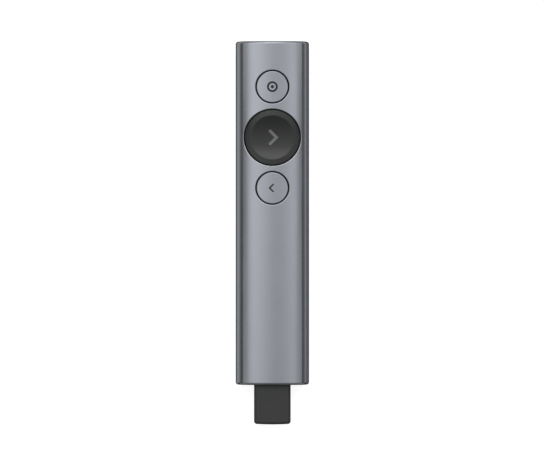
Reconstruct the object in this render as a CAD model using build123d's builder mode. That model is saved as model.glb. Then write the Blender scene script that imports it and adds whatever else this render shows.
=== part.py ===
"""Wireless presentation clicker: an oval aluminium tube with three keys and a receiver docked in its tail.

Millimetres. X runs across the tube, +Y points from the tail to the nose, and +Z is up, out of the keys.
The origin lies under the middle of the clicker with its receiver docked, level with its lowest line.
"""
from build123d import *
from math import atan2, cos, sin, sqrt
import os

# ---------------------------------------------------------------- driving dimensions

# Tube
body_length = 131.3
body_width = 28.1
body_height = 12.1
side_radius = 4.3
tube_wall = 1.3
rim_radius = 0.95
hole_round = 0.3

# Keys: the first one's centre from the nose, then the land between one key hole and the next
pointer_key_from_nose = 17.5
key_land = 2.15
small_key_radius = 6.0
next_key_radius = 10.45
key_gap = 0.35
key_proud = 0.15
key_round = 0.25
key_travel = 0.45
key_edge_thickness = 0.6
dish_radius = 8.4
carrier_thickness = 0.8
carrier_inset = 0.5
stem_radius = 1.6
leg_thickness = 1.0
leg_width = 2.6
barb_reach = 0.5
barb_height = 0.7
small_key_leg_pitch = 7.6
next_key_leg_pitch = 14.0

# Symbols, let into the keys
symbol_depth = 0.3
next_arrow_half_height = 3.15
next_arrow_stroke = 1.07
back_arrow_half_height = 1.7
back_arrow_stroke = 0.55
arrow_lead = 0.38
target_ring_radius = 2.05
target_ring_stroke = 0.7
target_dot_radius = 0.6

# Key frame, chassis and circuit board
slide_clearance = 0.15
key_frame_setback = 0.8
key_frame_plate = 1.0
key_frame_wall = 0.9
key_frame_from_nose = 6.5
key_frame_length = 60.5
board_side_room = 1.75
board_thickness = 0.8
board_from_nose = 3.9
board_corner = 0.8
rail_height_above_board = 1.7
tray_half_width = 5.0
tray_floor = 1.0
tray_end_wall = 2.0

# Fasteners
screw_radius = 0.7
screw_head_radius = 1.3
screw_head_height = 0.8
screw_bore_clearance = 0.02
screw_hole_clearance = 0.12
head_clearance = 0.15
boss_radius = 2.1
board_screw_length = 5.2
board_screw_x = 5.0
board_screw_inset = 2.2
tail_screw_length = 8.0
tail_screw_side_room = 2.55
screw_slot_length = 1.7
screw_slot_width = 0.4
screw_slot_depth = 0.35

# Tactile switches
switch_size = 4.5
switch_height = 2.0
switch_wall = 0.35
switch_cover = 0.2
plunger_radius = 1.0
plunger_flange_radius = 1.5
plunger_flange = 0.4
plunger_rise = 0.65
plunger_clearance = 0.12
dome_skin = 0.08

# Charging port
port_width = 8.94
port_height = 3.2
port_length = 7.35
port_skin = 0.3
port_tongue_width = 6.69
port_tongue_height = 0.7
port_tongue_setback = 0.6
port_base = 1.6

# Tail cap and receiver bay
tail_flange = 4.0
bay_clearance = 0.15
bay_wall = 0.9
bay_end_wall = 1.0
bay_end_gap = 0.35
plug_bay_clearance = 0.2
fit_clearance = 0.05
clip_length = 9.0
clip_width = 2.4
clip_skin = 0.25
clip_spacing = 6.0
clip_bump = 0.12
clip_bump_radius = 0.9
clip_bump_slope = 45

# Nose cap
nose_plate = 1.5
nose_spigot = 2.0
nose_spigot_wall = 0.9

# Receiver
receiver_width = 14.0
receiver_height = 6.0
receiver_length = 28.4
receiver_exposed = 15.2
receiver_corner = 1.3
receiver_end_bulge = 0.25
receiver_end_radius = 1.1
receiver_skin = 0.8
receiver_end_wall = 1.2
receiver_stop_gap = 0.05
plug_width = 12.0
plug_height = 4.5
plug_length = 12.5
plug_root = 5.5
plug_skin = 0.3
plug_tongue_height = 1.9
plug_hole_length = 2.5
plug_hole_width = 2.3
plug_hole_from_tip = 5.2
plug_hole_spacing = 6.0
contact_count = 4
contact_pitch = 2.4
contact_width = 1.0
contact_skin = 0.15
contact_length = 8.0
contact_setback = 1.2
receiver_board_thickness = 0.8
receiver_board_length = 16.0

# Chips on the receiver's board: distance behind the plug, x, length, width and height
receiver_chip_places = [
    (3.6, -0.6, 4.0, 4.0, 0.8),
    (8.4, 2.6, 3.2, 2.5, 0.9),
    (8.4, -2.8, 1.6, 3.0, 0.6),
    (13.2, 0.0, 2.0, 7.0, 0.7),
]

# Battery and its leads
motor_to_battery = 1.9
battery_to_port = 1.6
battery_width = 18.0
battery_height = 4.0
battery_corner = 1.2
battery_pad = 0.3
battery_pad_inset = 1.5
pad_to_tube = 0.3
lead_radius = 0.35
lead_pitch = 1.6
lead_drop_run = 0.9
lead_bend = 0.6
lead_x = 7.4
connector_width = 4.4
connector_length = 2.6
connector_height = 1.5
connector_wall = 0.4
connector_base = 0.5
connector_gap = 2.1

# Vibration motor
key_frame_to_motor = 0.8
motor_radius = 3.8
motor_height = 2.7
motor_skin = 0.2
motor_base = 0.3
motor_shaft_radius = 0.4
motor_running_clearance = 0.03
motor_hub_radius = 1.1
rotor_radius = 3.3
rotor_height = 1.6

# Board parts
shield_length = 7.0
shield_width = 9.0
shield_height = 1.6
shield_skin = 0.2
antenna_length = 6.0
antenna_width = 2.0
antenna_height = 2.6
antenna_skin = 0.25
antenna_x = 8.4

# Chips on the circuit board: the place it lies by, how far ahead of it, x, length, width and height
chips = [
    ("radio", 0.0, 0.0, 4.5, 4.5, 0.9),
    ("controller", 0.0, 0.0, 5.0, 5.0, 0.8),
    ("controller", 0.6, 6.2, 3.2, 2.6, 0.9),
    ("controller", -0.6, -6.0, 2.0, 1.2, 0.5),
    ("motor", 0.0, -6.6, 4.0, 4.0, 0.8),
    ("motor", 1.55, 6.5, 3.0, 3.0, 0.8),
    ("board tail", 0.0, 7.2, 3.0, 3.0, 0.8),
]

# ---------------------------------------------------------------- places worked out from them

nose_y = (body_length + receiver_exposed) / 2
tail_y = nose_y - body_length
mid_z = body_height / 2
crown_inset = body_width / 2 - side_radius
crown_radius = (crown_inset**2 + mid_z**2 - side_radius**2) / (2 * (mid_z - side_radius))
inner_inset = tube_wall + slide_clearance
bore_half_width = body_width / 2 - tube_wall
board_half_width = bore_half_width - board_side_room
key_frame_half_width = board_half_width - key_frame_setback
tail_screw_x = bore_half_width - tail_screw_side_room

board_top = mid_z - port_height / 2
board_bottom = board_top - board_thickness
rail_top = board_top + rail_height_above_board

key_crown_radius = crown_radius + key_proud
key_edge_drop = key_crown_radius - sqrt(key_crown_radius**2 - next_key_radius**2)
key_edge_z = body_height + key_proud - key_edge_drop
cap_bottom = key_edge_z - key_edge_thickness
carrier_bottom = cap_bottom - carrier_thickness
plate_top = carrier_bottom - key_travel - 2 * fit_clearance
plate_bottom = plate_top - key_frame_plate
barb_top = plate_bottom - fit_clearance
dish_depth = key_crown_radius - sqrt(key_crown_radius**2 - dish_radius**2)
dish_floor_z = body_height + key_proud - dish_depth

switch_floor_z = board_top + switch_wall
switch_cavity_radius = switch_size / 2 - switch_wall
cover_bottom = board_top + switch_height - switch_cover
plunger_top = board_top + switch_height + plunger_rise
plunger_bottom = cover_bottom - fit_clearance - plunger_flange
dome_rise = plunger_bottom - fit_clearance - switch_floor_z
dome_base_radius = switch_cavity_radius - slide_clearance
dome_sphere_radius = (dome_base_radius**2 + dome_rise**2) / (2 * dome_rise)

docked_front_y = tail_y - receiver_exposed + receiver_length
plug_tip_y = docked_front_y + plug_length
shoulder_y = docked_front_y + receiver_stop_gap
plug_bay_end_y = plug_tip_y + bay_end_gap
sleeve_front_y = plug_bay_end_y + bay_end_wall
board_tail_y = sleeve_front_y + fit_clearance
flange_front_y = tail_y + tail_flange
chassis_nose_y = nose_y - nose_plate - nose_spigot
board_nose_y = nose_y - board_from_nose
port_nose_y = plug_bay_end_y + port_length

case_bay_width = receiver_width + 2 * bay_clearance
case_bay_height = receiver_height + 2 * bay_clearance
plug_bay_width = plug_width + 2 * plug_bay_clearance
plug_bay_height = plug_height + 2 * plug_bay_clearance
bay_ceiling_z = mid_z + case_bay_height / 2
sleeve_width = case_bay_width + 2 * bay_wall
sleeve_height = case_bay_height + 2 * bay_wall
arm_inner_x = sleeve_width / 2 + slide_clearance
clip_y = (shoulder_y + tail_y) / 2
tail_screw_seat_y = tail_y + screw_head_height + head_clearance

plug_root_y = docked_front_y - plug_root
tongue_bottom = mid_z - plug_height / 2 + plug_skin
tongue_top = tongue_bottom + plug_tongue_height
receiver_hollow_width = receiver_width - 2 * receiver_skin
receiver_hollow_height = receiver_height - 2 * receiver_skin
receiver_hollow_length = receiver_length - plug_root - receiver_end_bulge - receiver_end_wall
receiver_board_bottom = (tongue_bottom + tongue_top - receiver_board_thickness) / 2

key_step = small_key_radius + next_key_radius + 2 * key_gap + key_land
next_key_from_nose = pointer_key_from_nose + key_step
back_key_from_nose = next_key_from_nose + key_step
keys = {
    "pointer": nose_y - pointer_key_from_nose,
    "next": nose_y - next_key_from_nose,
    "back": nose_y - back_key_from_nose,
}
key_radii = {"pointer": small_key_radius, "next": next_key_radius, "back": small_key_radius}
leg_pitches = {"pointer": small_key_leg_pitch, "next": next_key_leg_pitch, "back": small_key_leg_pitch}
symbol_floors = {
    "pointer": body_height + key_proud - symbol_depth,
    "next": dish_floor_z - symbol_depth,
    "back": body_height + key_proud - symbol_depth,
}

key_frame_nose_y = nose_y - key_frame_from_nose
key_frame_tail_y = key_frame_nose_y - key_frame_length
board_screw_ys = (key_frame_nose_y - board_screw_inset, key_frame_tail_y + board_screw_inset)
board_screw_points = [(x, y) for y in board_screw_ys for x in (-board_screw_x, board_screw_x)]
board_screw_seat_z = plate_top - screw_head_height
hollow_spans = [
    (board_screw_ys[0] - boss_radius, board_screw_ys[1] + boss_radius),
    (board_screw_ys[1] - boss_radius, board_tail_y + tray_end_wall),
]

motor_y = key_frame_tail_y - key_frame_to_motor - motor_radius
motor_inner_height = motor_height - motor_base - motor_skin
rotor_bottom = board_top + motor_base + (motor_inner_height - rotor_height) / 2

battery_nose_y = motor_y - motor_radius - motor_to_battery
battery_tail_y = port_nose_y + battery_to_port
battery_length = battery_nose_y - battery_tail_y
battery_mid_y = (battery_nose_y + battery_tail_y) / 2
battery_bottom = board_top + battery_pad
battery_top = battery_bottom + battery_height
pad_width = battery_width - 2 * (battery_corner + battery_pad_inset)
pad_length = battery_length - 2 * battery_pad_inset
pad_ceiling_z = body_height - crown_radius + sqrt((crown_radius - tube_wall) ** 2 - (pad_width / 2) ** 2)
battery_top_pad = pad_ceiling_z - pad_to_tube - battery_top
connector_y = battery_nose_y + connector_gap
lead_start_z = battery_bottom + battery_height / 2
lead_end_z = board_top + (connector_base + connector_height) / 2

radio_y = (keys["next"] + keys["back"]) / 2
behind_battery_y = (battery_tail_y + board_tail_y) / 2
chip_anchors = {
    "radio": radio_y,
    "controller": (keys["pointer"] + keys["next"]) / 2,
    "motor": motor_y,
    "board tail": behind_battery_y,
}


# ---------------------------------------------------------------- shared outlines

def section_at(y):
    """Plane across the tube at y, level with its mid-height. Extrusions from it run towards the tail."""
    return Plane(origin=(0, y, mid_z), x_dir=(1, 0, 0), z_dir=(0, -1, 0))


def body_oval(inset):
    """Four-arc oval of the tube's outer surface, moved inwards by inset."""
    side = side_radius - inset
    lean = atan2(crown_inset, crown_radius - mid_z)
    join_x = crown_inset + side * sin(lean)
    join_z = side * cos(lean)
    half_width = body_width / 2 - inset
    half_height = mid_z - inset
    with BuildSketch() as outline:
        with BuildLine():
            ThreePointArc((-join_x, join_z), (0, half_height), (join_x, join_z))
            ThreePointArc((join_x, join_z), (half_width, 0), (join_x, -join_z))
            ThreePointArc((join_x, -join_z), (0, -half_height), (-join_x, -join_z))
            ThreePointArc((-join_x, -join_z), (-half_width, 0), (-join_x, join_z))
        make_face()
    return outline.sketch


def chevron(half_height, stroke):
    """Arrow head of two square-ended arms at 45 degrees, pointing to +X and a little ahead of the origin."""
    arm_step = stroke / sqrt(2)
    apex_x = arrow_lead + (half_height + arm_step) / 2
    corners = [
        (apex_x, 0),
        (apex_x - half_height, half_height),
        (apex_x - half_height - arm_step, half_height - arm_step),
        (apex_x - 2 * arm_step, 0),
        (apex_x - half_height - arm_step, arm_step - half_height),
        (apex_x - half_height, -half_height),
    ]
    with BuildSketch() as head:
        with BuildLine():
            Polyline(*corners, close=True)
        make_face()
    return head.sketch


def target():
    """Ring with a dot in its middle."""
    with BuildSketch() as sight:
        Circle(target_ring_radius)
        Circle(target_ring_radius - target_ring_stroke, mode=Mode.SUBTRACT)
        Circle(target_dot_radius)
    return sight.sketch


def receiver_plan():
    """Receiver case seen from above: square at its front, gently bulged at its outer end."""
    half_width = receiver_width / 2
    front = docked_front_y
    corner = docked_front_y - receiver_length + receiver_end_bulge
    with BuildSketch() as plan:
        with BuildLine():
            Polyline((-half_width, corner), (-half_width, front), (half_width, front), (half_width, corner))
            ThreePointArc((half_width, corner), (0, corner - receiver_end_bulge), (-half_width, corner))
        make_face()
    return plan.sketch


outer_oval = body_oval(0)
tube_bore_oval = body_oval(tube_wall)
slide_in_oval = body_oval(inner_inset)
cap_fit_oval = body_oval(tube_wall + fit_clearance)
nose_hollow_oval = body_oval(inner_inset + nose_spigot_wall)
key_crown_oval = body_oval(-key_proud)
receiver_outline = receiver_plan()
symbols = {
    "pointer": target(),
    "next": chevron(next_arrow_half_height, next_arrow_stroke),
    "back": chevron(back_arrow_half_height, back_arrow_stroke).rotate(Axis.Z, 180),
}
finished = []


def keep(part, label):
    """Labels a finished sub-part and lists it for export."""
    part.label = label
    finished.append(part)


def cross_screw(length):
    """Pan-head screw with a cross recess, its shank along -Z below the head's seat on the origin plane."""
    with BuildPart() as screw:
        Cylinder(screw_radius, length, align=(Align.CENTER, Align.CENTER, Align.MAX))
        Cylinder(screw_head_radius, screw_head_height, align=(Align.CENTER, Align.CENTER, Align.MIN))
        with BuildSketch(Plane.XY.offset(screw_head_height)):
            Rectangle(screw_slot_length, screw_slot_width)
            Rectangle(screw_slot_width, screw_slot_length)
        extrude(amount=-screw_slot_depth, mode=Mode.SUBTRACT)
    return screw.part


# ---------------------------------------------------------------- tube and its end caps

with BuildPart() as body_tube:
    with BuildSketch(section_at(nose_y)):
        add(outer_oval)
    extrude(amount=body_length)
    fillet(body_tube.faces().filter_by(Axis.Y).edges(), radius=rim_radius)
    # Key holes, rounded at their rims while the tube is still solid
    with BuildSketch(Plane.XY.offset(mid_z)):
        for key, key_y in keys.items():
            with Locations((0, key_y)):
                Circle(key_radii[key] + key_gap)
    extrude(amount=body_height, mode=Mode.SUBTRACT)
    hole_edges = body_tube.edges(Select.LAST).filter_by(GeomType.LINE, reverse=True)
    fillet([edge for edge in hole_edges if edge.center().Z > mid_z + side_radius / 2], radius=hole_round)
    with BuildSketch(section_at(nose_y)):
        add(tube_bore_oval)
    extrude(amount=body_length, mode=Mode.SUBTRACT)
keep(body_tube.part, "body_tube")

with BuildPart() as nose_cap:
    with BuildSketch(section_at(nose_y)):
        add(cap_fit_oval)
    extrude(amount=nose_plate)
    with BuildSketch(section_at(nose_y - nose_plate)):
        add(slide_in_oval)
        add(nose_hollow_oval, mode=Mode.SUBTRACT)
    extrude(amount=nose_spigot)
keep(nose_cap.part, "nose_cap")

with BuildPart() as tail_cap:
    with BuildSketch(section_at(flange_front_y)):
        add(cap_fit_oval)
    extrude(amount=tail_flange)
    with BuildSketch(section_at(sleeve_front_y)):
        Rectangle(sleeve_width, sleeve_height)
        add(slide_in_oval, mode=Mode.INTERSECT)
    extrude(amount=sleeve_front_y - flange_front_y)
    # The receiver's bay: a wide part for its case, then a narrow one for its plug
    with BuildSketch(section_at(shoulder_y)):
        RectangleRounded(case_bay_width, case_bay_height, receiver_corner + bay_clearance)
    extrude(amount=shoulder_y - tail_y, mode=Mode.SUBTRACT)
    with BuildSketch(section_at(plug_bay_end_y)):
        Rectangle(plug_bay_width, plug_bay_height)
    extrude(amount=plug_bay_end_y - shoulder_y, mode=Mode.SUBTRACT)
    # The charging port's window in the bay's end wall
    with BuildSketch(section_at(sleeve_front_y)):
        SlotOverall(port_width + 2 * fit_clearance, port_height + 2 * fit_clearance)
    extrude(amount=bay_end_wall, mode=Mode.SUBTRACT)
    # Recesses for the two clips in the bay's ceiling
    with BuildSketch(Plane.XY.offset(bay_ceiling_z)):
        with Locations((0, clip_y)):
            with GridLocations(clip_spacing, 0, 2, 1):
                Rectangle(clip_width + 2 * fit_clearance, clip_length + 2 * fit_clearance)
    extrude(amount=clip_skin, mode=Mode.SUBTRACT)
    # Screw holes on both sides of the bay
    with Locations(section_at(tail_y)):
        with GridLocations(2 * tail_screw_x, 0, 2, 1):
            CounterBoreHole(
                radius=screw_radius + screw_hole_clearance,
                counter_bore_radius=screw_head_radius + head_clearance,
                counter_bore_depth=screw_head_height + head_clearance,
                depth=tail_flange,
            )
keep(tail_cap.part, "tail_cap")

with BuildPart() as receiver_clips:
    with BuildSketch(Plane.XY.offset(bay_ceiling_z)):
        with Locations((0, clip_y)):
            with GridLocations(clip_spacing, 0, 2, 1):
                Rectangle(clip_width, clip_length)
    extrude(amount=clip_skin)
    with BuildSketch(Plane.XY.offset(bay_ceiling_z)):
        with Locations((0, clip_y)):
            with GridLocations(clip_spacing, 0, 2, 1):
                Circle(clip_bump_radius)
    extrude(amount=-clip_bump, taper=clip_bump_slope)
keep(receiver_clips.part, "receiver_clips")

with BuildPart() as tail_cap_screws:
    with Locations(section_at(tail_screw_seat_y)):
        with GridLocations(2 * tail_screw_x, 0, 2, 1):
            add(cross_screw(tail_screw_length))
keep(tail_cap_screws.part, "tail_cap_screws")


# ---------------------------------------------------------------- chassis, board and key frame

with BuildPart() as chassis:
    with BuildSketch(section_at(chassis_nose_y)):
        add(slide_in_oval)
        with Locations((0, rail_top - mid_z)):
            Rectangle(body_width, body_height, align=(Align.CENTER, Align.MIN), mode=Mode.SUBTRACT)
        with Locations((0, board_bottom - mid_z)):
            Rectangle(
                2 * (board_half_width + slide_clearance),
                body_height,
                align=(Align.CENTER, Align.MIN),
                mode=Mode.SUBTRACT,
            )
    extrude(amount=chassis_nose_y - board_tail_y)
    # Two full-height arms that reach back along the bay to the tail cap
    with BuildSketch(section_at(board_tail_y)):
        add(slide_in_oval)
        Rectangle(2 * arm_inner_x, body_height, mode=Mode.SUBTRACT)
    extrude(amount=board_tail_y - flange_front_y)
    # Hollows under the board, between its screw bosses and behind them
    with BuildSketch(Plane.XY.offset(board_bottom)):
        for front_y, back_y in hollow_spans:
            with Locations((0, front_y)):
                Rectangle(2 * tray_half_width, front_y - back_y, align=(Align.CENTER, Align.MAX))
    extrude(amount=-(board_bottom - inner_inset - tray_floor), mode=Mode.SUBTRACT)
    # Pilot holes for the board screws and the tail cap screws
    with Locations(*[(x, y, board_screw_seat_z) for x, y in board_screw_points]):
        Hole(screw_radius + screw_bore_clearance, depth=board_screw_length + fit_clearance)
    with Locations(section_at(tail_screw_seat_y)):
        with GridLocations(2 * tail_screw_x, 0, 2, 1):
            Hole(screw_radius + screw_bore_clearance, depth=tail_screw_length + fit_clearance)
keep(chassis.part, "chassis")

with BuildPart() as circuit_board:
    with BuildSketch(Plane.XY.offset(board_bottom)):
        with Locations((0, (board_nose_y + board_tail_y) / 2)):
            RectangleRounded(2 * board_half_width, board_nose_y - board_tail_y, board_corner)
        with Locations(*board_screw_points):
            Circle(screw_radius + screw_hole_clearance, mode=Mode.SUBTRACT)
    extrude(amount=board_thickness)
keep(circuit_board.part, "circuit_board")

with BuildPart() as key_frame:
    with BuildSketch(Plane.XY.offset(plate_bottom)):
        with Locations((0, key_frame_nose_y)):
            Rectangle(2 * key_frame_half_width, key_frame_length, align=(Align.CENTER, Align.MAX))
    extrude(amount=key_frame_plate)
    # Side walls and screw bosses that stand on the board
    with BuildSketch(Plane.XY.offset(board_top)):
        with Locations((0, (key_frame_nose_y + key_frame_tail_y) / 2)):
            with GridLocations(2 * key_frame_half_width - key_frame_wall, 0, 2, 1):
                Rectangle(key_frame_wall, key_frame_length)
        with Locations(*board_screw_points):
            Circle(boss_radius)
    extrude(amount=plate_bottom - board_top)
    with Locations(*[(x, y, plate_top) for x, y in board_screw_points]):
        CounterBoreHole(
            radius=screw_radius + screw_hole_clearance,
            counter_bore_radius=screw_head_radius + head_clearance,
            counter_bore_depth=screw_head_height,
        )
    # Holes for each key's stem and slots for its two snap legs
    with BuildSketch(Plane.XY.offset(plate_bottom)):
        for key, key_y in keys.items():
            with Locations((0, key_y)):
                Circle(stem_radius + slide_clearance)
                with GridLocations(0, leg_pitches[key], 1, 2):
                    Rectangle(leg_width + 2 * slide_clearance, leg_thickness + 2 * slide_clearance)
    extrude(amount=key_frame_plate, mode=Mode.SUBTRACT)
keep(key_frame.part, "key_frame")

with BuildPart() as board_screws:
    with Locations(*[(x, y, board_screw_seat_z) for x, y in board_screw_points]):
        add(cross_screw(board_screw_length))
keep(board_screws.part, "board_screws")


# ---------------------------------------------------------------- keys

def cut_dish():
    """Cuts a trough across the next key. It is as round as the key's crown, so the two meet in a circle."""
    with Locations((0, keys["next"], dish_floor_z + key_crown_radius)):
        Cylinder(key_crown_radius, body_width, rotation=(0, 90, 0), mode=Mode.SUBTRACT)


def key_cap(key):
    """Cap of one key: a disc whose top follows the tube's crown. The next key has a dish in its middle."""
    key_y = keys[key]
    with BuildPart() as cap:
        with BuildSketch(section_at(key_y + body_width / 2)):
            add(key_crown_oval)
            with Locations((0, cap_bottom - mid_z)):
                Rectangle(body_width, body_height, align=(Align.CENTER, Align.MIN), mode=Mode.INTERSECT)
        extrude(amount=body_width)
        with BuildSketch(Plane.XY.offset(cap_bottom)):
            with Locations((0, key_y)):
                Circle(key_radii[key])
        extrude(amount=body_height, mode=Mode.INTERSECT)
        fillet(cap.faces().sort_by(Axis.Z)[-1].edges(), radius=key_round)
        if key == "next":
            cut_dish()
        with BuildSketch(Plane.XY.offset(symbol_floors[key])):
            with Locations((0, key_y)):
                add(symbols[key])
        extrude(amount=body_height, mode=Mode.SUBTRACT)
    return cap.part


def key_symbol(key):
    """Symbol let into a key, level with the surface around it."""
    key_y = keys[key]
    radius = key_radii[key]
    with BuildPart() as symbol:
        with BuildSketch(Plane.XY.offset(symbol_floors[key])):
            with Locations((0, key_y)):
                add(symbols[key])
        extrude(amount=symbol_depth + dish_depth)
        if key == "next":
            cut_dish()
        else:
            with BuildSketch(section_at(key_y + radius)):
                add(key_crown_oval)
            extrude(amount=2 * radius, mode=Mode.INTERSECT)
    return symbol.part


def key_carrier(key):
    """Disc under a cap, with a stem for the switch and two barbed legs that hook under the key frame."""
    with BuildPart() as carrier:
        with Locations((0, keys[key], cap_bottom)):
            Cylinder(
                key_radii[key] - carrier_inset,
                carrier_thickness,
                align=(Align.CENTER, Align.CENTER, Align.MAX),
            )
            Cylinder(stem_radius, cap_bottom - plunger_top, align=(Align.CENTER, Align.CENTER, Align.MAX))
        with Locations((0, keys[key], barb_top - barb_height)):
            for side in (1, -1):
                with Locations((0, side * leg_pitches[key] / 2)):
                    Box(
                        leg_width,
                        leg_thickness,
                        carrier_bottom - barb_top + barb_height,
                        align=(Align.CENTER, Align.CENTER, Align.MIN),
                    )
                    with Locations((0, side * (leg_thickness + barb_reach) / 2)):
                        Box(
                            leg_width,
                            barb_reach,
                            barb_height,
                            align=(Align.CENTER, Align.CENTER, Align.MIN),
                        )
    return carrier.part


def switch_parts(key):
    """Base, spring dome, plunger and cover of the tactile switch under a key."""
    key_y = keys[key]
    with BuildPart() as base:
        with Locations((0, key_y, board_top)):
            Box(
                switch_size,
                switch_size,
                cover_bottom - board_top,
                align=(Align.CENTER, Align.CENTER, Align.MIN),
            )
        with Locations((0, key_y, cover_bottom)):
            Cylinder(
                switch_cavity_radius,
                cover_bottom - switch_floor_z,
                align=(Align.CENTER, Align.CENTER, Align.MAX),
                mode=Mode.SUBTRACT,
            )
    with BuildPart() as dome:
        with Locations((0, key_y, switch_floor_z + dome_rise - dome_sphere_radius)):
            Sphere(dome_sphere_radius)
            Sphere(dome_sphere_radius - dome_skin, mode=Mode.SUBTRACT)
        split(bisect_by=Plane.XY.offset(switch_floor_z), keep=Keep.TOP)
    with BuildPart() as plunger:
        with Locations((0, key_y, plunger_bottom)):
            Cylinder(
                plunger_flange_radius,
                plunger_flange,
                align=(Align.CENTER, Align.CENTER, Align.MIN),
            )
            Cylinder(
                plunger_radius,
                plunger_top - plunger_bottom,
                align=(Align.CENTER, Align.CENTER, Align.MIN),
            )
    with BuildPart() as cover:
        with Locations((0, key_y, cover_bottom)):
            Box(switch_size, switch_size, switch_cover, align=(Align.CENTER, Align.CENTER, Align.MIN))
            Hole(plunger_radius + plunger_clearance)
    return {
        "switch_base": base.part,
        "switch_dome": dome.part,
        "switch_plunger": plunger.part,
        "switch_cover": cover.part,
    }


for key in keys:
    keep(key_cap(key), f"{key}_key_cap")
    keep(key_symbol(key), f"{key}_key_symbol")
    keep(key_carrier(key), f"{key}_key_carrier")
    for name, piece in switch_parts(key).items():
        keep(piece, f"{key}_{name}")


# ---------------------------------------------------------------- board parts

with BuildPart() as board_chips:
    for anchor, ahead, x, length, width, height in chips:
        with Locations((x, chip_anchors[anchor] + ahead, board_top)):
            Box(width, length, height, align=(Align.CENTER, Align.CENTER, Align.MIN))
keep(board_chips.part, "board_chips")

with BuildPart() as radio_shield:
    with Locations((0, radio_y, board_top)):
        Box(shield_width, shield_length, shield_height, align=(Align.CENTER, Align.CENTER, Align.MIN))
        Box(
            shield_width - 2 * shield_skin,
            shield_length - 2 * shield_skin,
            shield_height - shield_skin,
            align=(Align.CENTER, Align.CENTER, Align.MIN),
            mode=Mode.SUBTRACT,
        )
keep(radio_shield.part, "radio_shield")

with BuildPart() as antenna_bracket:
    with Locations((-antenna_x, behind_battery_y, board_top)):
        Box(antenna_width, antenna_length, antenna_height, align=(Align.CENTER, Align.CENTER, Align.MIN))
        Box(
            antenna_width,
            antenna_length - 2 * antenna_skin,
            antenna_height - antenna_skin,
            align=(Align.CENTER, Align.CENTER, Align.MIN),
            mode=Mode.SUBTRACT,
        )
keep(antenna_bracket.part, "antenna_bracket")

with BuildPart() as charging_port_shell:
    with BuildSketch(section_at(port_nose_y)):
        SlotOverall(port_width, port_height)
        SlotOverall(port_width - 2 * port_skin, port_height - 2 * port_skin, mode=Mode.SUBTRACT)
    extrude(amount=port_length)
keep(charging_port_shell.part, "charging_port_shell")

with BuildPart() as charging_port_tongue:
    with BuildSketch(section_at(port_nose_y)):
        SlotOverall(port_width - 2 * port_skin, port_height - 2 * port_skin)
    extrude(amount=port_base)
    with BuildSketch(section_at(port_nose_y)):
        Rectangle(port_tongue_width, port_tongue_height)
    extrude(amount=port_length - port_tongue_setback)
keep(charging_port_tongue.part, "charging_port_tongue")


# ---------------------------------------------------------------- vibration motor

with BuildPart() as motor_base_plate:
    with Locations((0, motor_y, board_top)):
        Cylinder(motor_radius, motor_base, align=(Align.CENTER, Align.CENTER, Align.MIN))
keep(motor_base_plate.part, "motor_base_plate")

with BuildPart() as motor_can:
    with Locations((0, motor_y, board_top + motor_base)):
        Cylinder(motor_radius, motor_height - motor_base, align=(Align.CENTER, Align.CENTER, Align.MIN))
        Cylinder(
            motor_radius - motor_skin,
            motor_inner_height,
            align=(Align.CENTER, Align.CENTER, Align.MIN),
            mode=Mode.SUBTRACT,
        )
keep(motor_can.part, "motor_can")

with BuildPart() as motor_shaft:
    with Locations((0, motor_y, board_top + motor_base)):
        Cylinder(motor_shaft_radius, motor_inner_height, align=(Align.CENTER, Align.CENTER, Align.MIN))
keep(motor_shaft.part, "motor_shaft")

with BuildPart() as motor_rotor:
    with BuildSketch(Plane.XY.offset(rotor_bottom)):
        with Locations((0, motor_y)):
            Circle(rotor_radius)
            Rectangle(2 * rotor_radius, rotor_radius, align=(Align.CENTER, Align.MIN), mode=Mode.SUBTRACT)
            Circle(motor_hub_radius)
            Circle(motor_shaft_radius + motor_running_clearance, mode=Mode.SUBTRACT)
    extrude(amount=rotor_height)
keep(motor_rotor.part, "motor_rotor")


# ---------------------------------------------------------------- battery and its leads

with BuildPart() as battery_cell:
    with BuildSketch(section_at(battery_nose_y)):
        with Locations((0, battery_bottom - mid_z)):
            Rectangle(battery_width, battery_height, align=(Align.CENTER, Align.MIN))
    extrude(amount=battery_length)
    fillet(battery_cell.edges().filter_by(Axis.Y), radius=battery_corner)
keep(battery_cell.part, "battery_cell")

with BuildPart() as battery_pads:
    for pad_z, pad_height in ((board_top, battery_pad), (battery_top, battery_top_pad)):
        with Locations((0, battery_mid_y, pad_z)):
            Box(pad_width, pad_length, pad_height, align=(Align.CENTER, Align.CENTER, Align.MIN))
keep(battery_pads.part, "battery_pads")

with BuildPart() as battery_socket:
    with Locations((lead_x, connector_y, board_top)):
        Box(connector_width, connector_length, connector_height, align=(Align.CENTER, Align.MIN, Align.MIN))
    with Locations((lead_x, connector_y, board_top + connector_base)):
        Box(
            connector_width - 2 * connector_wall,
            connector_length - connector_wall,
            connector_height - connector_base,
            align=(Align.CENTER, Align.MIN, Align.MIN),
            mode=Mode.SUBTRACT,
        )
keep(battery_socket.part, "battery_socket")

with BuildPart() as battery_plug:
    with Locations((lead_x, connector_y, board_top + connector_base)):
        Box(
            connector_width - 2 * (connector_wall + fit_clearance),
            connector_length - connector_wall - fit_clearance,
            connector_height - connector_base,
            align=(Align.CENTER, Align.MIN, Align.MIN),
        )
keep(battery_plug.part, "battery_plug")

for name, side in (("battery_lead_positive", 1), ("battery_lead_negative", -1)):
    start_x = lead_x + side * lead_pitch / 2
    drop_y = battery_nose_y + lead_drop_run
    with BuildPart() as lead:
        with BuildLine() as route:
            FilletPolyline(
                (start_x, battery_nose_y, lead_start_z),
                (start_x, drop_y, lead_start_z),
                (start_x, drop_y, lead_end_z),
                (start_x, connector_y, lead_end_z),
                radius=lead_bend,
            )
        with BuildSketch(Plane(origin=route.line @ 0, z_dir=route.line % 0)):
            Circle(lead_radius)
        sweep()
    keep(lead.part, name)


# ---------------------------------------------------------------- receiver

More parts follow.
